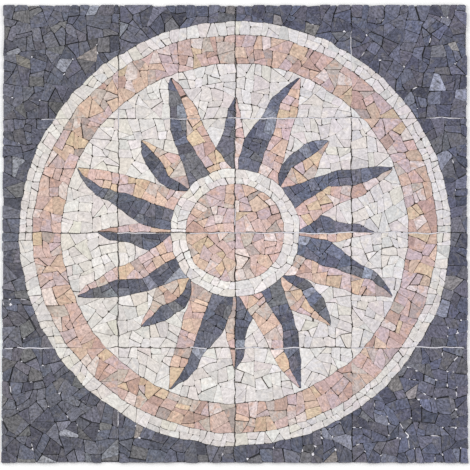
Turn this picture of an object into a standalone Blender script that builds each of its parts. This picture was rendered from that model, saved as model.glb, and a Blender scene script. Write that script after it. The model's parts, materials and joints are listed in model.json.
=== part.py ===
"""A square mosaic panel of broken marble, with a sun of sixteen rays in a ringed circle.

The panel is made up of square mats, each a backing net with stone chips glued to it. It lies face up on
its nets, with +Y towards the top of the picture and the origin at the middle of the underside. Each colour
area is one solid: its chips stand on a thin film of glue, which is all that joins them at the foot of their
joints. Angles are in degrees, clockwise from +Y.
"""

import math
import random
from typing import NamedTuple

import bmesh
import bpy
from mathutils import Matrix, Vector

# Mats, in metres
MAT_SIDE = 0.300
MATS_PER_SIDE = 4

# Widths of the picture's areas, from the panel's edge inwards
BORDER_LEAST_WIDTH = 0.044
OUTER_RING_WIDTH = 0.035
BAND_WIDTH = 0.075
CORE_RING_WIDTH = 0.0395
DISC_RADIUS = 0.1275
LONG_TIP_TO_BAND = 0.006
RAY_TIP_WIDTH = 0.005

# Thicknesses, from the underside up
NET_THICKNESS = 0.0007
STONE_THICKNESS = 0.009
GLUE_FILM = 0.001

# Joints and clearances
CHIP_JOINT = 0.002
AREA_CLEARANCE = 0.0003
NET_CLEARANCE = 0.0003
NET_TO_NET = 0.001
NET_INSIDE_EDGE = 0.001

# Largest chips in the rays and in the rings: the border and the field stay whole between the seams
RAY_CHIP = 0.046
RING_CHIP = 0.052
CIRCLE_SIDES = 72

# How a stretch of stone is broken: a cut's place as a share of the chip's length, its tilt, and how near it
# may pass a corner before it goes through that corner
CUT_WANDER = 0.10
CUT_TILT = math.radians(12)
CUT_SNAP = 0.0025
SEAM_SNAP = 0.0003
WAY_STEP = 15
STRAIGHT = math.radians(0.5)
WELD = 0.00001

# What follows from them
PANEL_SIDE = MAT_SIDE * MATS_PER_SIDE
HALF_SIDE = PANEL_SIDE / 2
OUTER_RING_RADIUS = HALF_SIDE - BORDER_LEAST_WIDTH
BAND_RADIUS = OUTER_RING_RADIUS - OUTER_RING_WIDTH
FIELD_RADIUS = BAND_RADIUS - BAND_WIDTH
CORE_RADIUS = DISC_RADIUS + CORE_RING_WIDTH
SUN_REACH = FIELD_RADIUS - LONG_TIP_TO_BAND - CORE_RADIUS
STONE_BOTTOM = NET_THICKNESS + NET_CLEARANCE
STONE_TOP = STONE_BOTTOM + STONE_THICKNESS
JOINT_BOTTOM = STONE_BOTTOM + GLUE_FILM
QUARTERS = 4
QUARTER = 360 / QUARTERS

DARK = "slate_marble"
PINK = "pink_marble"
CREAM = "cream_marble"
NET = "backing_net"
MATERIALS = {
    DARK: ((0.105, 0.108, 0.128), 0.62),
    PINK: ((0.640, 0.430, 0.330), 0.58),
    CREAM: ((0.800, 0.770, 0.715), 0.55),
    NET: ((0.820, 0.820, 0.830), 0.80),
}


class Valley(NamedTuple):
    """Where two neighbouring rays part: one joint from the core ring out to the field's inner point."""

    foot: float  # angle at the core ring
    halfway: float  # angle half-way out
    point: float  # angle at the field's inner point
    reach: float  # where that point lies, as a share of the sun's reach


class Ray(NamedTuple):
    """A ray laid in two stones. Its bends are shares of its own length, with angles from its middle."""

    kind: str
    angle: float
    reach: float  # its length, as a share of the sun's reach
    dark: tuple  # bends of its dark flank, past the valley
    parting: tuple  # bends of the line between its two stones, of which the first is its foot
    pink: tuple  # bends of its pink flank, past the valley


# One quarter of the sun, repeated four times. Each ray lies between the valley before it and its own.
RAYS = (
    Ray("short", 0.0, 0.69, ((0.56, -5.6), (0.82, -3.6)), ((0.0, 0.0),), ((0.71, 2.8),)),
    Ray(
        "long",
        22.5,
        1.00,
        ((0.54, -9.2), (0.74, -7.2), (0.86, -4.6)),
        ((0.0, -2.5), (0.45, -2.2), (0.72, -3.3)),
        ((0.42, 7.2), (0.75, 3.6)),
    ),
    Ray(
        "short",
        45.0,
        0.64,
        ((0.40, -10.8), (0.71, -7.2), (0.88, -3.9)),
        ((0.0, -1.2), (0.33, -4.2), (0.62, -0.5)),
        ((0.68, 4.2),),
    ),
    Ray(
        "long",
        67.5,
        1.00,
        ((0.52, -9.0), (0.79, -3.9)),
        ((0.0, -0.5), (0.38, -4.0), (0.60, 0.4), (0.85, 0.7)),
        ((0.43, 6.8), (0.64, 5.4), (0.88, 2.6)),
    ),
)
VALLEYS = (
    Valley(2.3, 3.6, 5.7, 0.30),
    Valley(42.0, 36.2, 34.3, 0.16),
    Valley(45.6, 52.2, 54.5, 0.30),
    Valley(88.0, 82.5, 78.0, 0.22),
)


def clear_scene():
    for thing in list(bpy.data.objects):
        bpy.data.objects.remove(thing, do_unlink=True)


def make_material(name, colour, roughness):
    material = bpy.data.materials.new(name)
    material.use_nodes = True
    shader = material.node_tree.nodes["Principled BSDF"]
    shader.inputs["Base Color"].default_value = (*colour, 1.0)
    shader.inputs["Roughness"].default_value = roughness
    shader.inputs["Metallic"].default_value = 0.0
    return material


def polar(radius, degrees):
    turn = math.radians(degrees)
    return Vector((radius * math.sin(turn), radius * math.cos(turn)))


def circle(radius):
    step = 2 * math.pi / CIRCLE_SIDES
    return [polar(radius, math.degrees(step * side)) for side in range(CIRCLE_SIDES)]


def arc(radius, start, end):
    """The points between two angles, of which those inside are the corners of the full circle."""
    step = 360 / CIRCLE_SIDES
    first = math.floor(start / step) + 1
    last = math.ceil(end / step)
    inner = [polar(radius, step * side) for side in range(first, last)]
    return [polar(radius, start), *inner, polar(radius, end)]


def spline(before, start, end, after, share):
    """The value at a share of the way from start to end, on a smooth curve through all four."""
    slope = end - before
    bend = 2 * before - 5 * start + 4 * end - after
    twist = 3 * (start - end) + after - before
    return start + (slope * share + bend * share**2 + twist * share**3) / 2


def smooth_run(stations):
    """A smooth line through (radius, angle) stations, with a corner about every chip."""
    around = [stations[0], *stations, stations[-1]]
    points = []
    for four in zip(around, around[1:], around[2:], around[3:]):
        radii, angles = zip(*four)
        steps = max(1, round((radii[2] - radii[1]) / RAY_CHIP))
        for step in range(steps):
            share = step / steps
            points.append(polar(spline(*radii, share), spline(*angles, share)))
    return [*points, polar(*stations[-1])]


def sun_radius(share):
    return CORE_RADIUS + SUN_REACH * share


def valley_run(valley, turn):
    """The joint between two rays, from the core ring to the field's inner point."""
    return smooth_run(
        [
            (CORE_RADIUS, valley.foot + turn),
            (sun_radius(valley.reach / 2), valley.halfway + turn),
            (sun_radius(valley.reach), valley.point + turn),
        ]
    )


def ray_stations(ray, bends, turn):
    """Bends of one of the ray's lines, as (radius, angle) stations."""
    return [(sun_radius(ray.reach * share), ray.angle + turn + bend) for share, bend in bends]


def flank_run(ray, valley, valley_turn, side, turn):
    """The ray's outer edge from its valley's point to its blunt tip: side is -1 for dark and 1 for pink."""
    tip = sun_radius(ray.reach)
    half_tip = math.degrees(RAY_TIP_WIDTH / 2 / tip)
    return smooth_run(
        [
            (sun_radius(valley.reach), valley.point + valley_turn),
            *ray_stations(ray, ray.dark if side < 0 else ray.pink, turn),
            (tip, ray.angle + side * half_tip + turn),
        ]
    )


def half_ray(ray, before, before_turn, after, side, turn):
    """The outline of one half of a ray: up its valley and its flank, and back down its parting."""
    valley, valley_turn = (before, before_turn) if side < 0 else (after, turn)
    flank = valley_run(valley, valley_turn)[:-1] + flank_run(ray, valley, valley_turn, side, turn)
    parting = smooth_run([*ray_stations(ray, ray.parting, turn), (sun_radius(ray.reach), ray.angle + turn)])
    foot_angles = sorted((valley.foot + valley_turn, ray.angle + turn + ray.parting[0][1]))
    foot = arc(CORE_RADIUS, *foot_angles)[1:-1]
    if side < 0:
        foot.reverse()
    return flank + parting[::-1] + foot


def quarter_rays(quarter):
    """Each ray of one quarter, with the valley before it, that valley's turn, and its own."""
    turn = QUARTER * quarter
    for index, ray in enumerate(RAYS):
        before_turn = turn if index else turn - QUARTER
        yield ray, VALLEYS[index - 1], before_turn, VALLEYS[index], turn


def sun_outline():
    """The whole sun's outer edge, clockwise, which the field surrounds."""
    points = []
    for quarter in range(QUARTERS):
        for ray, before, before_turn, after, turn in quarter_rays(quarter):
            points += flank_run(ray, before, before_turn, -1, turn)
            points += flank_run(ray, after, turn, 1, turn)[:0:-1]
    return points


def square_outline():
    corners = ((-1, -1), (1, -1), (1, 1), (-1, 1))
    return [Vector(corner) * HALF_SIDE for corner in corners]


def fill_outlines(outlines):
    """A flat sheet inside the first outline, with the others as holes."""
    mesh = bmesh.new()
    for outline in outlines:
        corners = [mesh.verts.new((*point, JOINT_BOTTOM)) for point in outline]
        for start, end in zip(corners, corners[1:] + corners[:1]):
            mesh.edges.new((start, end))
    bmesh.ops.triangle_fill(mesh, use_beauty=True, edges=mesh.edges[:])
    bmesh.ops.recalc_face_normals(mesh, faces=mesh.faces[:])
    if mesh.faces[0].normal.z < 0:
        bmesh.ops.reverse_faces(mesh, faces=mesh.faces[:])
    return mesh


def trim_clearance(mesh):
    """Draws the sheet's edges back by half the clearance that it keeps from its neighbours."""
    rim = bmesh.ops.inset_region(
        mesh,
        faces=mesh.faces[:],
        thickness=AREA_CLEARANCE / 2,
        use_boundary=True,
        use_even_offset=True,
    )
    bmesh.ops.delete(mesh, geom=rim["faces"], context="FACES")


def merge_by_mat(mesh, faces):
    """Joins the faces of each mat into one for each stretch, with no corners left in the straight seams."""
    mats = {}
    for face in faces:
        middle = face.calc_center_median()
        mat = tuple(math.floor((place + HALF_SIDE) / MAT_SIDE) for place in middle.xy)
        mats.setdefault(mat, []).append(face)
    for stretch in mats.values():
        if len(stretch) > 1:
            bmesh.ops.dissolve_faces(mesh, faces=stretch)
    idle = [
        corner
        for corner in mesh.verts
        if len(corner.link_edges) == 2 and not corner.is_boundary and corner.calc_edge_angle(1.0) < STRAIGHT
    ]
    bmesh.ops.dissolve_verts(mesh, verts=idle)


def cut_seams(mesh):
    """Cuts the sheet along the mats' edges and leaves one face for each stretch inside a mat."""
    for line in range(1, MATS_PER_SIDE):
        place = line * MAT_SIDE - HALF_SIDE
        for across in (Vector((1, 0, 0)), Vector((0, 1, 0))):
            everything = mesh.verts[:] + mesh.edges[:] + mesh.faces[:]
            bmesh.ops.bisect_plane(
                mesh, geom=everything, dist=SEAM_SNAP, plane_co=across * place, plane_no=across
            )
    merge_by_mat(mesh, mesh.faces)


def longest_way(face):
    """The direction in which a face reaches furthest, and how far."""
    best = (0.0, Vector((1, 0, 0)))
    for degrees in range(0, 180, WAY_STEP):
        way = Vector((*polar(1.0, degrees), 0))
        reaches = [corner.co.dot(way) for corner in face.verts]
        best = max(best, (max(reaches) - min(reaches), way), key=lambda pair: pair[0])
    return best


def break_chips(mesh, largest, dice):
    """Breaks each face across its length until no chip is larger than a square of the given side."""
    waiting = mesh.faces[:]
    while waiting:
        face = waiting.pop()
        if face.calc_area() <= largest**2:
            continue
        length, way = longest_way(face)
        middle = face.calc_center_median_weighted() + way * length * dice.uniform(-CUT_WANDER, CUT_WANDER)
        tilt = dice.uniform(-CUT_TILT, CUT_TILT)
        across = Matrix.Rotation(tilt, 3, "Z") @ way
        result = bmesh.ops.bisect_plane(
            mesh,
            geom=[face, *face.edges, *face.verts],
            dist=CUT_SNAP,
            plane_co=middle,
            plane_no=across,
        )
        chips = [part for part in result["geom"] if isinstance(part, bmesh.types.BMFace)]
        if len(chips) > 1:
            waiting += chips


def close_underside(mesh):
    """Copies the sheet as the underside and joins their rims, by a wall of glue where a joint comes out."""
    top = mesh.faces[:]
    rim = [corner for corner in mesh.verts if corner.is_boundary]
    plain_corners = [corner for corner in rim if len(corner.link_edges) == 2]
    rim_edges = [edge for edge in mesh.edges if edge.is_boundary]
    copy = bmesh.ops.duplicate(mesh, geom=top)
    under = [part for part in copy["geom"] if isinstance(part, bmesh.types.BMFace)]
    bmesh.ops.reverse_faces(mesh, faces=under)
    merge_by_mat(mesh, under)
    kept = set(top)
    low_corners = {corner for face in mesh.faces if face not in kept for corner in face.verts}
    wall = bmesh.ops.extrude_edge_only(mesh, edges=rim_edges)
    low_corners |= {part for part in wall["geom"] if isinstance(part, bmesh.types.BMVert)}
    low_corners |= set(plain_corners)
    for corner in low_corners:
        corner.co.z = STONE_BOTTOM
    bmesh.ops.remove_doubles(mesh, verts=list(low_corners), dist=WELD)
    return top


def raise_chips(mesh, chips):
    """Draws each chip's top in by half a joint and lifts it, which leaves a V-shaped joint between chips."""
    bmesh.ops.inset_individual(mesh, faces=chips, thickness=CHIP_JOINT / 2, use_even_offset=True)
    for chip in chips:
        for corner in chip.verts:
            corner.co.z = STONE_TOP


def square_panel_edge(mesh):
    """The panel's outer edge is cut square: what the joint and the clearance drew in goes back out."""
    for corner in mesh.verts:
        for axis in (0, 1):
            if abs(corner.co[axis]) > HALF_SIDE - CHIP_JOINT:
                corner.co[axis] = math.copysign(HALF_SIDE, corner.co[axis])


def face_outwards(mesh):
    bmesh.ops.recalc_face_normals(mesh, faces=mesh.faces[:])
    if mesh.calc_volume(signed=True) < 0:
        bmesh.ops.reverse_faces(mesh, faces=mesh.faces[:])


def add_area(name, outlines, material, largest, collection):
    mesh = fill_outlines(outlines)
    trim_clearance(mesh)
    cut_seams(mesh)
    if largest:
        break_chips(mesh, largest, random.Random(name))
    raise_chips(mesh, close_underside(mesh))
    square_panel_edge(mesh)
    face_outwards(mesh)
    data = bpy.data.meshes.new(name)
    mesh.to_mesh(data)
    mesh.free()
    data.materials.append(material)
    piece = bpy.data.objects.new(name, data)
    collection.objects.link(piece)
    return piece


def add_rays(materials, collection):
    """The sixteen rays, numbered clockwise from the top, each in two halves."""
    counts = {"short": 0, "long": 0}
    for quarter in range(QUARTERS):
        for ray, before, before_turn, after, turn in quarter_rays(quarter):
            counts[ray.kind] += 1
            name = f"{ray.kind}_ray_{counts[ray.kind]}"
            for side, stone, ending in ((-1, DARK, "dark"), (1, PINK, "pink")):
                outline = half_ray(ray, before, before_turn, after, side, turn)
                add_area(f"{name}_{ending}", [outline], materials[stone], RAY_CHIP, collection)


def add_nets(material, collection):
    """One net under each mat, cut just inside the panel's edge and clear of the next net."""
    for row in range(MATS_PER_SIDE):
        for column in range(MATS_PER_SIDE):
            spans = [net_span(column), net_span(MATS_PER_SIDE - 1 - row)]
            middle = [(start + end) / 2 for start, end in spans]
            bpy.ops.mesh.primitive_cube_add(size=1, location=(*middle, NET_THICKNESS / 2))
            net = bpy.context.object
            net.name = f"net_row_{row + 1}_column_{column + 1}"
            net.data.name = net.name
            net.scale = (*[end - start for start, end in spans], NET_THICKNESS)
            bpy.ops.object.transform_apply(location=False, rotation=False, scale=True)
            net.data.materials.append(material)
            for other in net.users_collection:
                other.objects.unlink(net)
            collection.objects.link(net)


def net_span(index):
    """Where a net starts and ends along one side of the panel."""
    start = index * MAT_SIDE - HALF_SIDE
    end = start + MAT_SIDE
    start += NET_INSIDE_EDGE if index == 0 else NET_TO_NET / 2
    end -= NET_INSIDE_EDGE if index == MATS_PER_SIDE - 1 else NET_TO_NET / 2
    return start, end


def build_panel():
    clear_scene()
    collection = bpy.data.collections.new("mosaic_panel")
    bpy.context.scene.collection.children.link(collection)
    materials = {name: make_material(name, *look) for name, look in MATERIALS.items()}
    rings = [circle(radius) for radius in (OUTER_RING_RADIUS, BAND_RADIUS, FIELD_RADIUS)]
    core, disc = circle(CORE_RADIUS), circle(DISC_RADIUS)
    add_area("border", [square_outline(), rings[0]], materials[DARK], None, collection)
    add_area("outer_ring", rings[:2], materials[CREAM], RING_CHIP, collection)
    add_area("band", rings[1:], materials[PINK], RING_CHIP, collection)
    add_area("field", [rings[2], sun_outline()], materials[CREAM], None, collection)
    add_rays(materials, collection)
    add_area("core_ring", [core, disc], materials[CREAM], RING_CHIP, collection)
    add_area("disc", [disc], materials[PINK], RING_CHIP, collection)
    add_nets(materials[NET], collection)


build_panel()
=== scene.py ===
"""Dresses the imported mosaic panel: its chips of marble, its backing nets, its glue and a studio round it."""

import json
import math
import random
from typing import NamedTuple

import bmesh
import bpy
from bpy.props import FloatProperty, FloatVectorProperty, IntProperty, PointerProperty
from mathutils import Matrix, Vector, geometry, noise

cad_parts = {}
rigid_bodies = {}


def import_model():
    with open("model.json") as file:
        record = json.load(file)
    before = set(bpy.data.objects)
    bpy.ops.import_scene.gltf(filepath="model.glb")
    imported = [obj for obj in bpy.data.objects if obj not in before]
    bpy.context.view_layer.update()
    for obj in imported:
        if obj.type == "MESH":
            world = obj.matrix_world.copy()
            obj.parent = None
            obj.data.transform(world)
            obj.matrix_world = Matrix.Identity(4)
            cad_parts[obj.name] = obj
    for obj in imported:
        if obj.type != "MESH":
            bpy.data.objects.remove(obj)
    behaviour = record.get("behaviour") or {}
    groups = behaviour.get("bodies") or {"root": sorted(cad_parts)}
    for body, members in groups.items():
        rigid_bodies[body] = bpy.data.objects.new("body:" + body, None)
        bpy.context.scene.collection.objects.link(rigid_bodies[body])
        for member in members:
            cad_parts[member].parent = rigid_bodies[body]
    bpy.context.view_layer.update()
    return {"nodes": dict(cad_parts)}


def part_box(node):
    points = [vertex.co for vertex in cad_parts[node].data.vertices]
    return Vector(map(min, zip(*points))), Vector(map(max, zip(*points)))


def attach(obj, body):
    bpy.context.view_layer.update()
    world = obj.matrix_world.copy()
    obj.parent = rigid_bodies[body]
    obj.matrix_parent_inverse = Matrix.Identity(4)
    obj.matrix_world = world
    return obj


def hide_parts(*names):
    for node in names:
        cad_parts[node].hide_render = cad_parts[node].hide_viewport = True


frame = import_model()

bl_info = {
    "name": "Mosaic panel",
    "version": (1, 0, 0),
    "blender": (4, 5, 0),
    "location": "3D View > Sidebar > Mosaic",
    "description": "Lays the marble chips of a square mosaic panel on its nets, and lights it",
    "category": "Add Mesh",
}

# The mats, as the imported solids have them. Lengths are in metres throughout.
MAT_SIDE = 0.300
MATS_PER_SIDE = 4
HALF_SIDE = MAT_SIDE * MATS_PER_SIDE / 2
STONE_FOOT = 0.001
STONE_TOP = 0.010
NET_THICKNESS = 0.0007

# How near two places are for a corner to be merged, on a line, in line or too close to the next
WELD = 0.00001
SEAM_SNAP = 0.0003
CUT_SNAP = 0.0025
ON_LINE = 0.0002
IN_LINE = 0.00012
SHORT_SIDE = 0.0022
STRAIGHT = math.radians(0.4)

# Breaking: when a chip is slim, how often a cut may fail, and when two chips are joined into one
SLIM_RATIO = 2.1
SLIM_SHARE = 0.42
MOST_TRIES = 3
SLIVER_SHARE = 0.36
SLIVER_WIDTH = 0.0095
THINNEST = 0.0060
ROUND_ENOUGH = 0.88
LONG_SIDE_SHARE = 0.4
JOINING_ROUNDS = 3

# Drifting: how far from an area's side a junction is quite free, and the deepest notch that it may leave
FREE_DEPTH = 0.020
DRIFT_SCALE = 14.0
DRIFT_GAIN = 1.6
DEEPEST_NOTCH = math.radians(-32)
UNFOLDING_ROUNDS = 4

# Laying: the two sizes of the hand's wander, and how far from the panel's edge it is at its full
HAND_SCALE = 14.0
CHIP_SCALE = 41.0
CALM_EDGE = 0.015
SIDE_STEP = 0.007
LEAST_AREA = 0.00006

# Joints: the tightest, how much wider the widest is, and how rare wide ones are
TIGHT_JOINT = 0.10
WIDE_JOINT = 3.1
WIDE_JOINT_RARITY = 3.2
TAPER = (0.1, 1.9)
PUSH_SHARE = 0.6
LONGEST_STEP = 0.006
BLUNT_CORNER = 0.25

# Corners: the turns that are left whole, and the side that is long enough to bend
FLAT_TURN = math.radians(28)
SHARP_TURN = math.radians(142)
CORNER_SHARE = 0.30
BENT_SIDE = 0.015
EDGE_INSET = 0.0001
# As shares of the most that breaks off: the least, and the ranges at the panel's edge and beside glue
LEAST_BREAK = 0.30
EDGE_BREAK = (0.6, 1.0)
GLUED_BREAK = (0.9, 1.3)
# How unequal a corner's two ends are, how round it is worn, and how far and where a long side bends
UNEVEN = (0.6, 1.4)
WORN_ROUND = (0.6, 1.0)
BEND = (-0.1, 0.6)
BEND_PLACE = (0.38, 0.62)

# Keeping a chip sound: how far its wear is tried, what has to be left of it, and the size of a plain chip
WEAR_TRIED = 1.3
LEAST_LEFT = 0.4
PLAIN_SIZE = 0.84

# A chip's height and colour
UNDERCUT = (0.955, 1.0)
TOUCHED_RIM = 0.0024
LEAST_FLAT = 0.6
SMOOTH_BELOW = math.radians(32)
MARBLE_SCALE = 3.2
CHANNEL_PLAY = 0.02
BRIGHTEST = 0.95

# The film of glue at the foot of the joints, coloured dark with dirt and painted shade
FILM_FOOT = 0.0008
FILM_TOP = 0.00105
FILM_INSET = 0.0003
# Where the darkening down in a joint starts and is full, partly dirt and partly painted shade, and the same for glue
DIRT_AND_SHADE_LEVELS = (STONE_TOP - 0.0010, STONE_TOP - 0.0022)
GLUE_LEVELS = (0.00095, 0.00082)

# Yarns and glue
THREAD_RADIUS = 0.00075
THREAD_STEP = 0.006
THREAD_SIDEWAYS = 0.0004
THREAD_DIP = 0.0008
THREAD_ENDS = 0.0014
YARN_LEVEL = NET_THICKNESS * 0.28
YARN_SCALE = 40.0
YARN_WANDER = 0.0006
GLUED_SIDE = 0.011
GLUE_CHANCE = 0.18
MORE_ON_RIGHT = 0.18
MORE_BELOW = 0.30
GLUE_TOPS = (0.0091, 0.00985)
SPECK_LENGTHS = (0.0075, 0.0155)
STREAK_WIDTHS = (0.0032, 0.0056)
LUMP_HALF_HEIGHT = 0.0030

# The stage
FLOOR_SIDE = 60.0
FLOOR_DROP = 0.0002
LIGHT_SIDE = 3.0
LIGHT_HEIGHT = 2.7
SENSOR_WIDTH = 36.0

SLATE = "slate_marble"
PINK = "pink_marble"
CREAM = "cream_marble"


def length_property(label, size, description):
    """A setting in metres."""
    return FloatProperty(name=label, description=description, default=size, unit="LENGTH")


def colour_property(label, shade, description):
    """A setting that is a colour."""
    return FloatVectorProperty(name=label, description=description, default=shade, subtype="COLOR")


def power_property(label, power, description):
    """A setting in watts."""
    return FloatProperty(name=label, description=description, default=power, unit="POWER")


def angle_property(label, degrees, description):
    """A setting that is an angle, given in degrees."""
    return FloatProperty(
        name=label, description=description, default=math.radians(degrees), subtype="ANGLE", unit="ROTATION"
    )


class MosaicChips(bpy.types.PropertyGroup):
    """How the chips are broken, laid and worn."""

    joint: length_property("Joint", 0.0012, "Mean gap between two border chips")
    glued_joint: length_property("Glued Joint", 0.0030, "Gap where glue has come up")
    nudge: length_property("Nudge", 0.00035, "How far a chip's corners may be turned or pushed out of place")
    mat_play: length_property("Mat Play", 0.0005, "How far a mat may lie from its place")
    hand_play: length_property("Hand Play", 0.0030, "How far the drawn lines wander from the drawing")
    chip_play: length_property("Chip Play", 0.0034, "How far each chip's corners wander on top of that")
    upright_seam: length_property("Upright Seam", 0.0027, "Gap between mats side by side")
    level_seam: length_property("Level Seam", 0.0024, "Gap between mats above each other")
    netted_seam: length_property("Netted Seam", 0.0034, "Gap between mats where the net's edge stands up")
    edge_play: length_property("Edge Play", 0.0036, "How far a chip may stay inside the panel's edge")
    broken_corner: length_property("Broken Corner", 0.0046, "Most that is broken off a corner")
    worn_edge: length_property("Worn Edge", 0.0004, "Width of the worn edge round a chip's face")
    crown: length_property("Crown", 0.00016, "How much a chip's face rises from its edge")
    low_chip: length_property("Low Chip", 0.0007, "How far a chip may sit below the tallest")
    tilt: angle_property("Tilt", 1.3, "Most that a chip leans")
    seed: IntProperty(name="Seed", description="Changes how the stone breaks", default=7)


class MosaicStones(bpy.types.PropertyGroup):
    """Colours of the marbles that the chips are broken from, and of net and glue."""

    slate_blue: colour_property("Slate Blue", (0.103, 0.109, 0.152), "Bluish slate marble")
    slate_charcoal: colour_property("Charcoal", (0.084, 0.085, 0.117), "Darkest slate marble")
    slate_grey: colour_property("Slate Grey", (0.129, 0.131, 0.170), "Plain grey slate marble")
    slate_olive: colour_property("Olive Slate", (0.132, 0.130, 0.143), "Olive slate marble")
    slate_brown: colour_property("Brown Slate", (0.121, 0.115, 0.143), "Brownish slate marble")
    slate_pale: colour_property("Pale Slate", (0.235, 0.243, 0.290), "Pale blue-grey slate marble")
    slate_tan: colour_property("Tan Slate", (0.235, 0.215, 0.205), "A rare tan chip in the slate")
    pink_salmon: colour_property("Salmon", (0.603, 0.437, 0.412), "Salmon pink marble")
    pink_peach: colour_property("Peach", (0.641, 0.470, 0.386), "Peach marble")
    pink_golden: colour_property("Golden", (0.620, 0.475, 0.350), "Golden marble")
    pink_mauve: colour_property("Mauve", (0.560, 0.437, 0.455), "Mauve pink marble")
    pink_beige: colour_property("Beige", (0.532, 0.456, 0.422), "Beige-grey marble")
    pink_terracotta: colour_property("Terracotta", (0.490, 0.335, 0.300), "Deep terracotta marble")
    pink_pale: colour_property("Pale Pink", (0.700, 0.596, 0.580), "Palest pink marble")
    pink_taupe: colour_property("Taupe", (0.410, 0.340, 0.325), "Taupe marble")
    cream_ivory: colour_property("Ivory", (0.658, 0.622, 0.616), "Ivory marble")
    cream_bright: colour_property("Bright Cream", (0.708, 0.679, 0.675), "Brightest cream marble")
    cream_rose: colour_property("Rose Cream", (0.638, 0.584, 0.582), "Cream marble with a pink cast")
    cream_straw: colour_property("Straw Cream", (0.656, 0.617, 0.573), "Cream marble with a yellow cast")
    cream_grey: colour_property("Grey Cream", (0.594, 0.571, 0.571), "Cream marble with a grey cast")
    net_white: colour_property("Net", (0.860, 0.845, 0.910), "Coated glass-fibre net")
    glue_white: colour_property("Glue", (0.880, 0.865, 0.930), "Dried glue that shows between chips")


class MosaicNet(bpy.types.PropertyGroup):
    """The net under each mat and the glue that comes up from it."""

    pitch: length_property("Pitch", 0.005, "Distance between two yarns")
    yarn_width: length_property("Yarn Width", 0.0010, "Width of a flat yarn")
    specks: IntProperty(name="Specks", description="Lumps of glue that fill gaps between border chips", default=80)
    streaks: IntProperty(name="Streaks", description="Lines of glue in joints of the border", default=30)


class MosaicStage(bpy.types.PropertyGroup):
    """The studio: floor, lights and camera."""

    floor_colour: colour_property("Floor", (0.96, 0.96, 0.96), "Colour of the plain floor")
    sky: FloatProperty(name="Sky", description="Strength of the even light all round", default=0.58)
    softbox: power_property("Softbox", 56.5, "Strength of the large soft light on the left")
    fill: power_property("Fill", 48.5, "Strength of the soft light on the right")
    camera_height: angle_property("Camera Angle", 79.7, "Angle of the camera above the floor")
    camera_distance: length_property("Camera Distance", 25.0, "From the panel's middle")
    aim_low: length_property("Aim Low", 0.0040, "How far below the panel's middle the camera aims")
    view_width: length_property("View Width", 1.2110, "Width that the picture shows at the panel")


# The marbles of each stone and how common each is
PALETTES = {
    SLATE: (
        ("slate_blue", 4.5), ("slate_charcoal", 5.5), ("slate_grey", 4.0), ("slate_olive", 2.2),
        ("slate_brown", 2.6), ("slate_pale", 0.85), ("slate_tan", 0.16),
    ),
    PINK: (
        ("pink_salmon", 4.0), ("pink_peach", 3.0), ("pink_golden", 2.0), ("pink_mauve", 3.4),
        ("pink_beige", 2.2), ("pink_terracotta", 1.5), ("pink_pale", 1.6), ("pink_taupe", 0.8),
    ),
    CREAM: (
        ("cream_ivory", 4.0), ("cream_bright", 3.2), ("cream_rose", 1.6), ("cream_straw", 1.1), ("cream_grey", 1.6),
    ),
}
TONE_PLAY = {SLATE: 0.30, PINK: 0.12, CREAM: 0.07}
# Painted light: how much bluer than the rest the stone to the right and at the top is painted, for a cool light that
# falls there
COOL_LIGHT_CAST = {SLATE: 0.042, PINK: 0.023, CREAM: 0.017}
COOL_LIGHT_ABOVE = 0.35
COOL_LIGHT_WITHIN = 0.35
GREY = (0.5, 0.5, 0.5, 1)
# What net and glue keep of their colour between fibres and under dust
DULL = (0.82, 0.82, 0.82)
DUSTY = (0.80, 0.78, 0.74)


class Area(NamedTuple):
    """How the chips of one kind of area are broken and laid."""

    least: float  # the smallest chip, in square metres
    most: float  # the largest
    wander: float  # of each cut from the middle, as a share of the length
    lean: float  # of each cut, in degrees
    drift: float  # of the whole pattern
    jitter: float  # of each junction
    gap: float  # the joints' width, as a share of the border's
    cast: tuple  # of the stone there, in red, green and blue


AREAS = {
    "border": Area(0.00088, 0.00168, 0.17, 24, 0.008, 0.0034, 0.95, (1.0, 1.01, 1.04)),
    "outer_ring": Area(0.00060, 0.00120, 0.20, 26, 0.003, 0.0030, 0.54, (0.97, 0.97, 0.975)),
    "band": Area(0.00084, 0.00160, 0.16, 22, 0.005, 0.0034, 0.64, (0.905, 0.915, 0.915)),
    "field": Area(0.00076, 0.00146, 0.16, 22, 0.005, 0.0034, 0.54, (1.0, 1.0, 1.0)),
    "core_ring": Area(0.00066, 0.00120, 0.22, 28, 0.004, 0.0034, 0.56, (1.05, 1.05, 1.05)),
    "disc": Area(0.00070, 0.00140, 0.17, 24, 0.005, 0.0034, 0.60, (0.985, 0.99, 0.985)),
    "pink_ray": Area(0.00072, 0.00140, 0.15, 18, 0.002, 0.0024, 0.62, (1.0, 1.0, 1.0)),
    "dark_ray": Area(0.00072, 0.00140, 0.15, 18, 0.002, 0.0024, 0.50, (1.15, 1.18, 1.21)),
}
# Circles that part two courses of chips, as (radius, the least and most angle clockwise from +Y)
COURSES = {
    "core_ring": (
        (0.1445, 0, 52), (0.1505, 52, 112), (0.1460, 112, 150), (0.1500, 163, 215),
        (0.1440, 215, 262), (0.1490, 274, 330), (0.1450, 330, 360),
    ),
    "outer_ring": ((0.5400, 20, 46), (0.5370, 58, 88), (0.5385, 100, 165), (0.5410, 190, 204), (0.5385, 268, 292)),
}
RADIAL = ("outer_ring", "band", "core_ring")

# The seams' settings, and which shares of their gap are steady and vary
SEAMS = {
    "upright": ("upright_seam", 0.55, 0.45),
    "level": ("level_seam", 0.65, 0.35),
    "netted": ("netted_seam", 0.80, 0.20),
}
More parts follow.
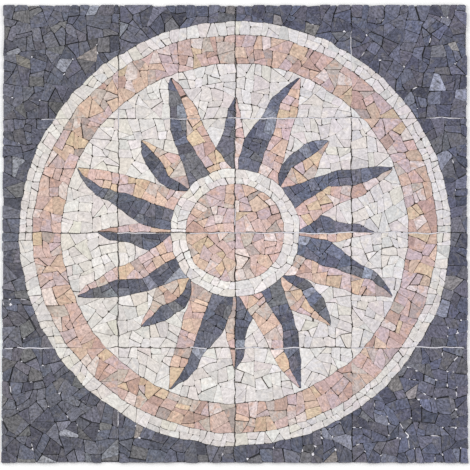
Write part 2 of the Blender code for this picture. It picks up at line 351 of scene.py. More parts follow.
# Stretches where the net's edge shows, as (start, end, top), by the axis that the seam runs along and its place
NET_EDGES = {
    (0, 0.300): (
        (-0.500, -0.448, 0.0080), (-0.185, -0.085, 0.0083), (-0.020, 0.170, 0.0099), (0.170, 0.330, 0.0084),
        (0.330, 0.420, 0.0078), (0.495, 0.592, 0.0078),
    ),
    (0, 0.000): (
        (-0.302, -0.205, 0.0086), (-0.118, 0.000, 0.0080), (0.000, 0.120, 0.0083), (0.120, 0.345, 0.0094),
        (0.345, 0.430, 0.0082), (0.435, 0.545, 0.0098),
    ),
    (0, -0.300): (
        (-0.592, -0.572, 0.0092), (-0.562, -0.462, 0.0098), (-0.385, -0.320, 0.0084), (-0.115, -0.072, 0.0094),
        (0.000, 0.072, 0.0086), (0.100, 0.172, 0.0092), (0.300, 0.410, 0.0091), (0.450, 0.588, 0.0090),
    ),
    (1, -0.300): ((0.270, 0.345, 0.0082), (-0.510, -0.460, 0.0090)),
    (1, 0.300): ((0.400, 0.530, 0.0084),),
    (1, 0.000): ((0.020, 0.065, 0.0082),),
}


# Selecting and small helpers


def select_only(piece):
    """Deselects everything and makes one piece the active one."""
    for other in bpy.context.view_layer.objects:
        other.select_set(False)
    piece.select_set(True)
    bpy.context.view_layer.objects.active = piece


def edit(piece):
    """Opens a piece in edit mode, with all of its faces selected."""
    select_only(piece)
    bpy.ops.object.mode_set(mode="EDIT")
    bpy.ops.mesh.select_mode(type="FACE")
    bpy.ops.mesh.select_all(action="SELECT")


def leave_edit():
    """Goes back to object mode."""
    bpy.ops.object.mode_set(mode="OBJECT")


def finish_piece(piece, material, nodes):
    """Gives a piece its material and its place in the frame."""
    piece.data.materials.clear()
    piece.data.materials.append(material)
    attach(piece, "root")
    if nodes:
        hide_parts(*nodes)


def seeded_dice(name):
    """Dice for one job, and the noise started anew, so that each run gives the same panel."""
    seed = bpy.context.scene.mosaic_chips.seed
    noise.seed_set(seed)
    return random.Random(f"{seed} {name}")


# Sheets of stone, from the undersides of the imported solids


def lift_sheet(node_name, piece_name):
    """Copies a solid's flat underside, turned up and cut along the seams, as one face for each mat."""
    piece = bpy.data.objects.new(piece_name, frame["nodes"][node_name].data.copy())
    bpy.context.scene.collection.objects.link(piece)
    piece.data.name = piece_name
    select_only(piece)
    bpy.ops.mesh.customdata_custom_splitnormals_clear()
    edit(piece)
    bpy.ops.mesh.remove_doubles(threshold=WELD)
    bpy.ops.mesh.select_all(action="DESELECT")
    mesh = bmesh.from_edit_mesh(piece.data)
    for face in mesh.faces:
        face.select_set(max(corner.co.z for corner in face.verts) > STONE_FOOT + 4 * WELD)
    mesh.select_flush_mode()
    bmesh.update_edit_mesh(piece.data)
    bpy.ops.mesh.delete(type="FACE")
    bpy.ops.mesh.select_all(action="SELECT")
    bpy.ops.mesh.flip_normals()
    for line in range(1, MATS_PER_SIDE):
        place = line * MAT_SIDE - HALF_SIDE
        for across in ((1, 0, 0), (0, 1, 0)):
            bpy.ops.mesh.select_all(action="SELECT")
            bpy.ops.mesh.bisect(plane_co=Vector(across) * place, plane_no=across, threshold=SEAM_SNAP)
    mesh = bmesh.from_edit_mesh(piece.data)
    merge_by_mat(mesh)
    bmesh.update_edit_mesh(piece.data)
    return piece


def mat_of(face):
    """The column and row of the mat that a face lies in."""
    middle = face.calc_center_median_weighted()
    return tuple(math.floor((place + HALF_SIDE) / MAT_SIDE) for place in middle.xy)


def merge_by_mat(mesh):
    """Joins the faces of each mat into one for each stretch, and parts the mats from each other."""
    mats = {}
    for face in mesh.faces:
        mats.setdefault(mat_of(face), []).append(face)
    for stretch in mats.values():
        if len(stretch) > 1:
            bmesh.ops.dissolve_faces(mesh, faces=stretch)
    between = [edge for edge in mesh.edges if not edge.is_boundary]
    if between:
        bmesh.ops.split_edges(mesh, edges=between)
    straight = [corner for corner in mesh.verts if len(corner.link_edges) == 2 and corner_turn(corner) < STRAIGHT]
    bmesh.ops.dissolve_verts(mesh, verts=straight)


def corner_turn(corner):
    """How sharply the outline turns at a corner with two edges."""
    first, second = (edge.other_vert(corner).co - corner.co for edge in corner.link_edges)
    if first.length < WELD or second.length < WELD:
        return 0.0
    return math.pi - first.angle(second)


# Breaking a sheet into chips


def reach(face, way):
    """How far a face reaches along a direction."""
    places = [corner.co.dot(way) for corner in face.verts]
    return max(places) - min(places)


def long_way(face):
    """Width, length and long direction of a face, set square to one of its own sides."""
    best = None
    for edge in face.edges:
        along = edge.verts[1].co - edge.verts[0].co
        if along.length < SHORT_SIDE:
            continue
        along.normalize()
        across = Vector((-along.y, along.x, 0.0))
        for narrow, wide in ((across, along), (along, across)):
            width = reach(face, narrow)
            if best is None or width < best[0]:
                best = (width, reach(face, wide), wide)
    return best


def cut_face(mesh, face, place, normal):
    """Cuts one face along a line and returns the faces that it leaves."""
    result = bmesh.ops.bisect_plane(
        mesh, geom=[face, *face.edges, *face.verts], dist=CUT_SNAP, plane_co=place, plane_no=normal
    )
    return [part for part in result["geom"] if isinstance(part, bmesh.types.BMFace)]


def break_chips(mesh, area, dice):
    """Breaks each face across its length until every chip is small enough."""
    waiting = [(face, 0) for face in mesh.faces]
    while waiting:
        face, tries = waiting.pop()
        limit = dice.uniform(area.least, area.most)
        size = face.calc_area()
        shape = long_way(face)
        if shape is None:
            continue
        width, length, along = shape
        slim = length > SLIM_RATIO * width and size > SLIM_SHARE * limit
        if (size <= limit and not slim) or tries > MOST_TRIES:
            continue
        place = face.calc_center_median_weighted() + along * length * dice.uniform(-1, 1) * area.wander
        lean = math.radians(dice.uniform(-1, 1) * area.lean)
        chips = cut_face(mesh, face, place, Matrix.Rotation(lean, 3, "Z") @ along)
        fresh = tries + 1 if len(chips) < 2 else 0
        waiting += [(chip, fresh) for chip in chips]


def join_slivers(mesh, least):
    """Joins each chip that is too small or too thin to lay with the neighbour that suits its shape best."""
    for _ in range(JOINING_ROUNDS):
        small = [face for face in mesh.faces if is_sliver(face, least)]
        for face in small:
            if not face.is_valid:
                continue
            shared = [edge for edge in face.edges if len(edge.link_faces) == 2]
            if not shared or not is_sliver(face, least):
                continue
            longest = max(edge.calc_length() for edge in shared)
            sides = [edge for edge in shared if edge.calc_length() > LONG_SIDE_SHARE * longest]
            best = max(sides, key=lambda edge: roundness(edge.link_faces))
            shape = long_way(face)
            if roundness(best.link_faces) > ROUND_ENOUGH or shape is None or shape[0] < THINNEST:
                bmesh.ops.dissolve_faces(mesh, faces=list(best.link_faces))


def roundness(faces):
    """How much of their common hull some faces fill."""
    places = [corner.co.xy for face in faces for corner in face.verts]
    hull = [places[index] for index in geometry.convex_hull_2d(places)]
    return sum(face.calc_area() for face in faces) / max(abs(outline_area(hull)), WELD ** 2)


def is_sliver(face, least):
    """Whether a chip is too small or too thin to lay."""
    shape = long_way(face)
    return shape is None or face.calc_area() < SLIVER_SHARE * least or shape[0] < SLIVER_WIDTH


def drift_junctions(mesh, area, seed, dice):
    """Lets the inner junctions drift, so that the breaks don't run straight through a mat."""
    fixed = [edge for edge in mesh.edges if len(edge.link_faces) == 1]
    sides = [(edge.verts[0].co.copy(), edge.verts[1].co.copy()) for edge in fixed]
    moves = {}
    for corner in mesh.verts:
        play = dice.uniform(0, math.tau), dice.random()
        if any(len(edge.link_faces) == 1 for edge in corner.link_edges):
            continue
        room = min(distance_to_side(corner.co, *side) for side in sides)
        free = min(1.0, room / FREE_DEPTH)
        wave = noise.noise_vector(corner.co * DRIFT_SCALE + Vector((seed, 3.1 * seed, 0.7)))
        step = wave.xy * area.drift * DRIFT_GAIN
        step += Vector((math.cos(play[0]), math.sin(play[0]))) * area.jitter * math.sqrt(play[1])
        moves[corner] = step * free
    for corner, step in moves.items():
        corner.co.xy += step
    for _ in range(UNFOLDING_ROUNDS):
        back = {corner for face in mesh.faces if is_folded(face) for corner in face.verts if corner in moves}
        for corner in back:
            moves[corner] = moves[corner] * 0.5
            corner.co.xy -= moves[corner]


def is_folded(face):
    """Whether a face has a deep notch, or crosses itself."""
    points = [corner.co.xy for corner in face.verts]
    turns = [turn_at(points[index - 2], points[index - 1], here) for index, here in enumerate(points)]
    return min(turns) < DEEPEST_NOTCH or outline_area(points) <= 0 or crosses_itself(points)


def crosses_itself(points):
    """Whether two sides of an outline cross."""
    count = len(points)
    for first in range(count - 2):
        start, end = points[first], points[first + 1]
        for second in range(first + 2, count - (first == 0)):
            if geometry.intersect_line_line_2d(start, end, points[second], points[(second + 1) % count]):
                return True
    return False


def distance_to_side(point, start, end):
    """How far a point is from a side."""
    along = end - start
    share = max(0.0, min(1.0, (point - start).dot(along) / max(along.length_squared, WELD ** 2)))
    return (start + along * share - point).length


# A ring is broken unrolled, with its length along x and its radius along y


def unroll(mesh):
    """Unrolls each mat's stretch of a ring about the panel's middle."""
    turns = {}
    for face in mesh.faces:
        middle = face.calc_center_median_weighted()
        base = math.atan2(middle.x, middle.y)
        for corner in face.verts:
            turns[corner] = base
    radius = sum(corner.co.xy.length for corner in mesh.verts) / len(mesh.verts)
    for corner, base in turns.items():
        angle = math.atan2(corner.co.x, corner.co.y)
        angle = base + (angle - base + math.pi) % math.tau - math.pi
        corner.co.xy = angle * radius, corner.co.xy.length
    return radius


def roll_up(mesh, radius):
    """Rolls an unrolled ring up again."""
    for corner in mesh.verts:
        angle = corner.co.x / radius
        corner.co.xy = corner.co.y * math.sin(angle), corner.co.y * math.cos(angle)


def part_courses(mesh, courses, radius):
    """Cuts the unrolled ring along the circles that part its courses."""
    whole_turn = math.tau * radius
    for course, start, end in courses:
        ends = [math.radians(edge) * radius for edge in (start, end) if 0 < edge < 360]
        for face in list(mesh.faces):
            stretch = [face]
            for line in ends:
                for turn in (0, whole_turn, -whole_turn):
                    cut = Vector((line + turn, 0, 0)), Vector((1, 0, 0))
                    stretch = [chip for part in stretch for chip in cut_face(mesh, part, *cut)]
            for chip in stretch:
                angle = math.degrees(chip.calc_center_median_weighted().x / radius) % 360
                if start <= angle <= end:
                    cut_face(mesh, chip, Vector((0, course, 0)), Vector((0, 1, 0)))


# A chip's outline: joints opened, corners broken


def turn_at(before, here, after):
    """How far an outline turns left at a point."""
    first, second = here - before, after - here
    return math.atan2(first.x * second.y - first.y * second.x, first.dot(second))


def outline_area(points):
    """The area inside an outline, less than 0 when it runs clockwise."""
    return 0.5 * sum(here.x * after.y - here.y * after.x for here, after in zip(points, points[1:] + points[:1]))


def drawn_outline(face, glue):
    """A face's corners, what the side after each lies along, and whether glue fills the corner."""
    points, kinds, glued = [], [], []
    for loop in face.loops:
        start, end = loop.vert.co.xy, loop.link_loop_next.vert.co.xy
        if loop.edge in glue:
            kind = "glued"
        elif len(loop.edge.link_faces) == 1:
            kind = side_kind(start, end)
        else:
            kind = "chip"
        parts = 1 if kind in ("chip", "glued") else max(1, round((end - start).length / SIDE_STEP))
        for step in range(parts):
            points.append(start.lerp(end, step / parts))
            kinds.append(kind)
            glued.append(step == 0 and loop.vert in glue)
    return points, kinds, glued


def plain_outline(points, kinds, glued):
    """Drops the corners that are next to another one, or in line with their neighbours."""
    changed = True
    while changed and len(points) > 3:
        changed = False
        for index, here in enumerate(points):
            before, after = points[index - 1], points[(index + 1) % len(points)]
            across = after - before
            off = abs(across.cross(here - before)) / max(across.length, WELD)
            short = (after - here).length < SHORT_SIDE
            if short or (off < IN_LINE and kinds[index] == kinds[index - 1] and not glued[index]):
                for values in (points, kinds, glued):
                    values.pop(index)
                changed = True
                break


def side_kind(first, second):
    """What an area's side lies along: the panel's edge, an upright or level seam, or another area."""
    for axis, seam in ((0, "upright"), (1, "level")):
        if abs(first[axis] - second[axis]) > ON_LINE:
            continue
        place = (first[axis] + HALF_SIDE) / MAT_SIDE
        line = round(place)
        if abs(place - line) * MAT_SIDE < ON_LINE:
            if not 0 < line < MATS_PER_SIDE:
                return "edge"
            along = (first[1 - axis] + second[1 - axis]) / 2
            return "netted" if net_shows(1 - axis, line * MAT_SIDE - HALF_SIDE, along) else seam
    return "area"


def net_shows(axis, seam, along):
    """Whether the net's edge shows at a place along a seam."""
    return any(
        start < along < end
        for (running, place), stretches in NET_EDGES.items() if running == axis and abs(seam - place) < ON_LINE
        for start, end, _ in stretches
    )


def half_joint(kind, gap, settings, dice):
    """How far a side is drawn in. Most joints are tight, and a few are wide."""
    share = TIGHT_JOINT + WIDE_JOINT * dice.random() ** WIDE_JOINT_RARITY
    if kind == "edge":
        return settings.edge_play * dice.random() ** 1.5
    if kind in SEAMS:
        name, steady, varied = SEAMS[kind]
        return getattr(settings, name) / 2 * (steady + varied * share)
    if kind == "glued":
        return settings.glued_joint / 2
    return settings.joint * gap / 2 * share


def hand_wander(point, settings):
    """How far from the drawing a hand has set the chips round a point."""
    wander = noise.noise_vector(Vector((point.x, point.y, 0.3)) * HAND_SCALE) * settings.hand_play
    wander += noise.noise_vector(Vector((point.x, point.y, 0.7)) * CHIP_SCALE) * settings.chip_play
    return Vector([wander[axis] * min(1.0, (HALF_SIDE - abs(point[axis])) / CALM_EDGE) for axis in (0, 1)])


def laid_place(point, mat, settings):
    """Where a point of the drawing ends up, once a hand has set the chips and laid the mats."""
    laid = point + hand_wander(point, settings)
    dice = random.Random(f"{settings.seed} mat {mat}")
    centre = Vector([(line + 0.5) * MAT_SIDE - HALF_SIDE for line in mat])
    turn = Matrix.Rotation(dice.uniform(-1, 1) * settings.mat_play / MAT_SIDE, 2)
    push = Vector((dice.uniform(-1, 1), dice.uniform(-1, 1))) * settings.mat_play
    return centre + turn @ (laid - centre) + push


def open_joints(points, kinds, gap, settings, dice):
    """Draws each side in by its half of the joint, more at one end than at the other."""
    depths = [half_joint(kind, gap, settings, dice) for kind in kinds]
    ends = [
        (depths[index - 1] * dice.uniform(*TAPER), depths[index] * dice.uniform(*TAPER))
        for index in range(len(points))
    ]
    return draw_in(points, ends)


def draw_in(points, ends):
    """Moves each corner in from the side before it and the side after it, by its two depths."""
    drawn = []
    for index, (here, (near, far)) in enumerate(zip(points, ends)):
        before, after = points[index - 1], points[(index + 1) % len(points)]
        first, second = (here - before).normalized(), (after - here).normalized()
        inward, other = Vector((-first.y, first.x)), Vector((-second.y, second.x))
        cross = inward.cross(other)
        if abs(cross) > BLUNT_CORNER:
            step = Vector((near * other.y - far * inward.y, far * inward.x - near * other.x)) / cross
        else:
            step = (inward + other).normalized() * (near + far) / 2
        if step.length > LONGEST_STEP:
            step *= LONGEST_STEP / step.length
        drawn.append(here + step)
    return drawn


def is_sound(points, whole_area, settings):
    """Whether a chip of this outline keeps its shape when its edge is worn."""
    inner = draw_in(points, [(settings.worn_edge * WEAR_TRIED,) * 2] * len(points))
    return outline_area(inner) > LEAST_LEFT * whole_area and not crosses_itself(points) and not crosses_itself(inner)


def nudge_chip(points, settings, dice):
    """Turns and pushes a chip a little, which leaves joints that taper."""
    middle = sum(points, Vector((0, 0))) / len(points)
    far = max((point - middle).length for point in points)
    turn = Matrix.Rotation(dice.uniform(-1, 1) * settings.nudge / far, 2)
    push = Vector((dice.uniform(-1, 1), dice.uniform(-1, 1))) * settings.nudge * PUSH_SHARE
    return [middle + turn @ (point - middle) + push for point in points]


def break_corners(points, kinds, glued, settings, dice):
    """Breaks or wears the corners and bends the long sides a little."""
    count = len(points)
    broken = []
    for index, here in enumerate(points):
        before, after = points[index - 1], points[(index + 1) % count]
        to_before, to_after = before - here, after - here
        turn = abs(turn_at(before, here, after))
        size = settings.broken_corner * (LEAST_BREAK + (1 - LEAST_BREAK) * dice.random() ** 1.5)
        if "edge" in (kinds[index - 1], kinds[index]):
            size = max(size, settings.broken_corner * dice.uniform(*EDGE_BREAK))
        if glued[index]:
            size = settings.broken_corner * dice.uniform(*GLUED_BREAK)
        near = min(size * dice.uniform(*UNEVEN), CORNER_SHARE * to_before.length)
        far = min(size * dice.uniform(*UNEVEN), CORNER_SHARE * to_after.length)
        if turn < FLAT_TURN or turn > SHARP_TURN:
            broken.append(here)
        else:
            start = here + to_before.normalized() * near
            end = here + to_after.normalized() * far
            worn = here.lerp((start + end) / 2, dice.uniform(*WORN_ROUND))
            broken += [start, worn, end]
        if to_after.length > BENT_SIDE:
            side = to_after.normalized()
            bend = Vector((-side.y, side.x)) * dice.uniform(*BEND) * settings.joint / 2
            broken.append(here + to_after * dice.uniform(*BEND_PLACE) + bend)
    return broken


def inside_panel(point):
    """The nearest place to a point that is inside the panel's edge."""
    limit = HALF_SIDE - EDGE_INSET
    return Vector([max(-limit, min(limit, place)) for place in point])


def whole_outline(points):
    """A plain chip in the place of one that came out folded."""
    hull = [points[index] for index in geometry.convex_hull_2d(points)]
    middle = sum(hull, Vector((0, 0))) / len(hull)
    hull = [middle + (point - middle) * PLAIN_SIZE for point in hull]
    return hull if outline_area(hull) > 0 else hull[::-1]


def film_outline(face, settings):
    """The outline of the film of glue, dark with dirt and painted shade, that joins the chips of one mat."""
    points, kinds, _ = drawn_outline(face, {})
    mat = mat_of(face)
    points = [laid_place(point, mat, settings) for point in points]
    depths = [settings.edge_play if kind == "edge" else FILM_INSET for kind in kinds]
    ends = [(depths[index - 1], depth) for index, depth in enumerate(depths)]
    return [inside_panel(point) for point in draw_in(points, ends)]


def chip_outlines(mesh, area, glue, settings, dice):
    """The outline of each chip to lay, from the flat pattern."""
    outlines = []
    for face in mesh.faces:
        points, kinds, glued = drawn_outline(face, glue)
        mat = mat_of(face)
        points = [laid_place(point, mat, settings) for point in points]
        plain_outline(points, kinds, glued)
        if len(points) < 3 or abs(outline_area(points)) < LEAST_AREA:
            continue
        opened = open_joints(points, kinds, area.gap, settings, dice)
        nudged = nudge_chip(opened, settings, dice)
        broken = break_corners(nudged, kinds, glued, settings, dice)
        whole_area = outline_area(points)
        for choice in (broken, nudged, whole_outline(points)):
            if is_sound(choice, whole_area, settings):
                broken = choice
                break
        else:
            broken = whole_outline(points)
        outlines.append([inside_panel(point) for point in broken])
    return outlines


# From outlines to chips of stone


def pick_colour(stone, cast, middle, dice):
    """A chip's colour: one of its marble's, which lie in drifts, lighter or darker than the next, and bluer to the
    right and at the top as painted cool light.
    """
    stones = bpy.context.scene.mosaic_stones
    palette = PALETTES[stone]
    weights = []
    for index, (_, weight) in enumerate(palette):
        drift = noise.noise(Vector((middle.x * MARBLE_SCALE, middle.y * MARBLE_SCALE, 5.3 * index)))
        weights.append(weight * (1.0 + 0.8 * max(-0.8, min(1.0, drift * 2))))
    name = dice.choices([name for name, _ in palette], weights)[0]
    tone = 1.0 + dice.gauss(0, 0.5) * TONE_PLAY[stone]
    # Painted light: bluer towards the right and the top, for the cool light that falls there.
    painted_cool_light = COOL_LIGHT_CAST[stone] * max(-1.0, min(1.0, (middle.x + COOL_LIGHT_ABOVE * middle.y) / COOL_LIGHT_WITHIN))
    shades = zip(getattr(stones, name), cast, (1 - painted_cool_light, 1 - 0.7 * painted_cool_light, 1 + painted_cool_light))
    return tuple(
        min(BRIGHTEST, shade * part * change * tone * (1 + dice.uniform(-CHANNEL_PLAY, CHANNEL_PLAY)))
        for shade, part, change in shades
    )


def island(start):
    """All corners of the chip that a face belongs to."""
    found = set(start.verts)
    waiting = list(found)
    while waiting:
        for edge in waiting.pop().link_edges:
            for corner in edge.verts:
                if corner not in found:
                    found.add(corner)
                    waiting.append(corner)
    return found


def add_film(mesh, outlines, shade):
    """Adds the thin film of glue at the foot of the joints, coloured dark with dirt and painted shade."""
    tint = mesh.verts.layers.float_color["tint"]
    rim = mesh.verts.layers.float["rim"]
    for outline in outlines:
        low, high = ([mesh.verts.new((*point, level)) for point in outline] for level in (FILM_FOOT, FILM_TOP))
        mesh.faces.new(low[::-1])
        mesh.faces.new(high)
        for index in range(len(outline)):
            after = (index + 1) % len(outline)
            mesh.faces.new((low[index], low[after], high[after], high[index]))
        for corner in (*low, *high):
            corner[tint] = shade
            corner[rim] = 1.0


def raise_chips(piece, outlines, films, stone, cast, settings, dice):
    """Lays the outlines as faces, pulls them up, and wears, crowns, tilts and colours each chip."""
    leave_edit()
    flat = bmesh.new()
    for outline in outlines:
        flat.faces.new([flat.verts.new((*point, NET_THICKNESS)) for point in outline])
    flat.to_mesh(piece.data)
    flat.free()
    edit(piece)
    shoulder = STONE_TOP - NET_THICKNESS - settings.worn_edge * 1.1
    bpy.ops.mesh.extrude_region_move(TRANSFORM_OT_translate={"value": (0, 0, shoulder)})
    bpy.ops.mesh.inset(thickness=settings.worn_edge, depth=settings.worn_edge * 0.9, use_individual=True)
    bpy.ops.mesh.inset(thickness=settings.worn_edge * 0.2, depth=0.0, use_individual=True)
    mesh = bmesh.from_edit_mesh(piece.data)
    tint = mesh.verts.layers.float_color.new("tint")
    grain = mesh.verts.layers.float.new("grain")
    rim = mesh.verts.layers.float.new("rim")
    mesh.faces.ensure_lookup_table()
    for face in [face for face in mesh.faces if face.select]:
        chip = island(face)
        crown = set(face.verts)
        middle = face.calc_center_median()
        size = math.sqrt(face.calc_area() / math.pi)
        colour = pick_colour(stone, cast, middle, dice)
        mark = dice.random()
        drop = settings.low_chip * dice.random() ** 1.6
        lean = math.tan(settings.tilt) * dice.random()
        heading = dice.uniform(0, math.tau)
        slope = Vector((math.cos(heading), math.sin(heading))) * lean
        undercut = dice.uniform(*UNDERCUT)
        worn = max(LEAST_FLAT, 1 - TOUCHED_RIM / size)
        for corner in chip:
            out = corner.co.xy - middle.xy
            if corner in crown:
                corner.co.xy = middle.xy + out * worn
                corner.co.z += settings.crown
            if corner.co.z > STONE_TOP / 2:
                corner.co.z += slope.dot(out)
            else:
                corner.co.xy = middle.xy + out * undercut
            corner[tint] = (*colour, 1.0)
            corner[grain] = mark
            corner[rim] = 0.0 if corner in crown else 1.0
        top = max(corner.co.z for corner in chip)
        for corner in chip:
            if corner.co.z > STONE_TOP / 2:
                corner.co.z += STONE_TOP - drop - top
    # The film takes the dark colour of dirt and painted shade down in the joints.
    add_film(mesh, films, FINISHES[stone].wear["Dirt_Colour"])
    bmesh.update_edit_mesh(piece.data)
    bpy.ops.mesh.select_all(action="SELECT")
    bpy.ops.mesh.normals_make_consistent(inside=False)
    leave_edit()
    bpy.ops.object.shade_smooth_by_angle(angle=SMOOTH_BELOW)


def lay_area(node_name, kind, stone):
    """Breaks, lays and dresses the chips of one colour area."""
    settings = bpy.context.scene.mosaic_chips
    dice = seeded_dice(node_name)
    area = AREAS[kind]
    piece = lift_sheet(node_name, f"{node_name}_chips")
    mesh = bmesh.from_edit_mesh(piece.data)
    films = [film_outline(face, settings) for face in mesh.faces]
    radius = unroll(mesh) if kind in RADIAL else None
    if radius:
        part_courses(mesh, COURSES.get(kind, ()), radius)
    break_chips(mesh, area, dice)
    join_slivers(mesh, area.least)
    drift_junctions(mesh, area, dice.uniform(0, 50), dice)
    if radius:
        roll_up(mesh, radius)
    mesh.normal_update()
    glue = pick_glue(mesh, dice) if kind == "border" else {}
    marks = [glue_mark(part, top, settings) for part, top in glue.items()]
    outlines = chip_outlines(mesh, area, glue, settings, dice)
    raise_chips(piece, outlines, films, stone, area.cast, settings, dice)
    finish_piece(piece, stone_material(stone), [node_name])
    return marks


# Shader nodes


def add_node(tree, kind, settings=None, **sockets):
    """Adds a shader node and fills its inputs."""
    node = tree.nodes.new(kind)
    for name, value in (settings or {}).items():
        setattr(node, name, value)
    fill_inputs(tree, node, **sockets)
    return node


def fill_inputs(tree, node, **sockets):
    """Fills a node's inputs with values or links. An input's spaces are written as _."""
    for name, value in sockets.items():
        fill_socket(tree, node.inputs[name.replace("_", " ")], value)


def fill_socket(tree, socket, value):
    """Gives one input a value or a link."""
    if isinstance(value, bpy.types.NodeSocket):
        tree.links.new(value, socket)
    elif value is not None:
        socket.default_value = value


def fill_in_order(tree, node, first, *values):
    """Fills a node's inputs from the first one given on, and returns its outputs."""
    for index, value in enumerate(values, first):
        fill_socket(tree, node.inputs[index], value)
    return node.outputs


def calculate(tree, operation, first, second=None):
    """The result of a Math node."""
    node = add_node(tree, "ShaderNodeMath", {"operation": operation})
    return fill_in_order(tree, node, 0, first, second)[0]


def vector_math(tree, operation, *vectors):
    """The result of a Vector Math node."""
    node = add_node(tree, "ShaderNodeVectorMath", {"operation": operation})
    return fill_in_order(tree, node, 0, *vectors)[0]


def scale_colour(tree, colour, factor):
    """Makes a colour lighter or darker."""
    node = add_node(tree, "ShaderNodeVectorMath", {"operation": "SCALE"}, Scale=factor)
    return fill_in_order(tree, node, 0, colour)[0]


def mix_colour(tree, share, first, second):
    """Mixes a share of the second colour into the first."""
    node = add_node(tree, "ShaderNodeMix", {"data_type": "RGBA"})
    fill_socket(tree, node.inputs[0], share)
    return fill_in_order(tree, node, 6, first, second)[2]


def ramp_value(tree, value, start, end, low=0.0, high=1.0):
    """Takes a value from one range to another, smoothly."""
    node = add_node(tree, "ShaderNodeMapRange", {"interpolation_type": "SMOOTHSTEP"})
    return fill_in_order(tree, node, 0, value, start, end, low, high)[0]


def noise_value(tree, vector, scale, detail=3.0, rough=0.5, distort=0.0):
    """The value of a Noise Texture."""
    node = add_node(
        tree, "ShaderNodeTexNoise", Vector=vector, Scale=scale, Detail=detail, Roughness=rough, Distortion=distort
    )
    return node.outputs[0]


def times(tree, first, *others):
    """Multiplies values one after the other."""
    for other in others:
        first = calculate(tree, "MULTIPLY", first, other)
    return first


def swing(tree, value, strength):
    """How far a noise is from its middle, by a strength."""
    return times(tree, calculate(tree, "SUBTRACT", value, 0.5), strength)


def node_group(name, inputs, outputs):
    """Starts a shader node group. An input is a number, a colour or, with None, a vector."""
    tree = bpy.data.node_groups.new(name, "ShaderNodeTree")
    for label, value in inputs.items():
        kind = "Vector" if value is None else "Color" if isinstance(value, tuple) else "Float"
        socket = tree.interface.new_socket(label, in_out="INPUT", socket_type=f"NodeSocket{kind}")
        if value is not None:
            socket.default_value = value
    for label, kind in outputs.items():
        tree.interface.new_socket(label, in_out="OUTPUT", socket_type=f"NodeSocket{kind}")
    return tree, tree.nodes.new("NodeGroupInput").outputs, tree.nodes.new("NodeGroupOutput").inputs


def place_group(tree, name, **sockets):
    """Adds a shared effect to a material, and makes its group the first time."""
    if name not in bpy.data.node_groups:
        GROUPS[name](name)
    return add_node(tree, "ShaderNodeGroup", {"node_tree": bpy.data.node_groups[name]}, **sockets).outputs


def attribute(tree, name, output="Fac"):
    """What the chips carry at their corners under a name."""
    return add_node(tree, "ShaderNodeAttribute", {"attribute_name": name}).outputs[output]


def object_place(tree):
    """The place of a point on the object, in metres."""
    return add_node(tree, "ShaderNodeTexCoord").outputs["Object"]


def clouding_group(name):
    """Cloudy tone, bedding streaks and fine specks of a cut stone."""
    inputs = {
        "Vector": None, "Colour": GREY, "Second Colour": GREY, "Cloud Scale": 90.0, "Clouds": 0.12, "Streaks": 0.05,
        "Specks": 0.06, "Second Share": 0.3,
    }
    tree, given, put = node_group(name, inputs, {"Colour": "Color", "Height": "Float", "Tone": "Float"})
    vector = given["Vector"]
    clouds = noise_value(tree, vector, given["Cloud Scale"], 5.0, 0.55, 0.4)
    stretched = vector_math(tree, "MULTIPLY", vector, (75.0, 330.0, 330.0))
    streaks = noise_value(tree, stretched, 1.0, 3.0, 0.6, 0.3)
    specks = noise_value(tree, vector, 1500.0, 2.0, 0.6)
    patches = noise_value(tree, vector, 48.0, 3.0, 0.5, 0.8)
    tone = swing(tree, clouds, given["Clouds"])
    for part, strength in ((streaks, "Streaks"), (specks, "Specks")):
        tone = calculate(tree, "ADD", tone, swing(tree, part, given[strength]))
    share = times(tree, ramp_value(tree, patches, 0.50, 0.68), given["Second Share"])
    colour = mix_colour(tree, share, given["Colour"], given["Second Colour"])
    factor = calculate(tree, "ADD", times(tree, tone, 2.0), 1.0)
    tree.links.new(scale_colour(tree, colour, factor), put["Colour"])
    height = calculate(tree, "ADD", times(tree, clouds, 0.8), times(tree, specks, 0.35))
    tree.links.new(calculate(tree, "ADD", height, times(tree, streaks, 0.3)), put["Height"])
    tree.links.new(clouds, put["Tone"])


def vein_group(name):
    """Thin healed cracks, in some of the chips only."""
    inputs = {
        "Vector": None, "Grain": 0.5, "Colour": GREY, "Vein Colour": GREY, "Vein Scale": 40.0, "Vein Width": 0.012,
        "Strength": 0.6, "Plain Share": 0.6,
    }
    tree, given, put = node_group(name, inputs, {"Colour": "Color", "Mask": "Float"})
    field = noise_value(tree, given["Vector"], given["Vein Scale"], 4.0, 0.45, 0.9)
    off = calculate(tree, "ABSOLUTE", calculate(tree, "SUBTRACT", field, 0.5))
    line = ramp_value(tree, off, 0.0, given["Vein Width"], 1.0, 0.0)
    fade = ramp_value(tree, noise_value(tree, given["Vector"], 110.0, 2.0), 0.38, 0.62)
    chance = calculate(tree, "FRACT", times(tree, given["Grain"], 17.31))
    veined = calculate(tree, "GREATER_THAN", chance, given["Plain Share"])
    mask = times(tree, line, fade, veined, given["Strength"])
    tree.links.new(mix_colour(tree, mask, given["Colour"], given["Vein Colour"]), put["Colour"])
    tree.links.new(mask, put["Mask"])


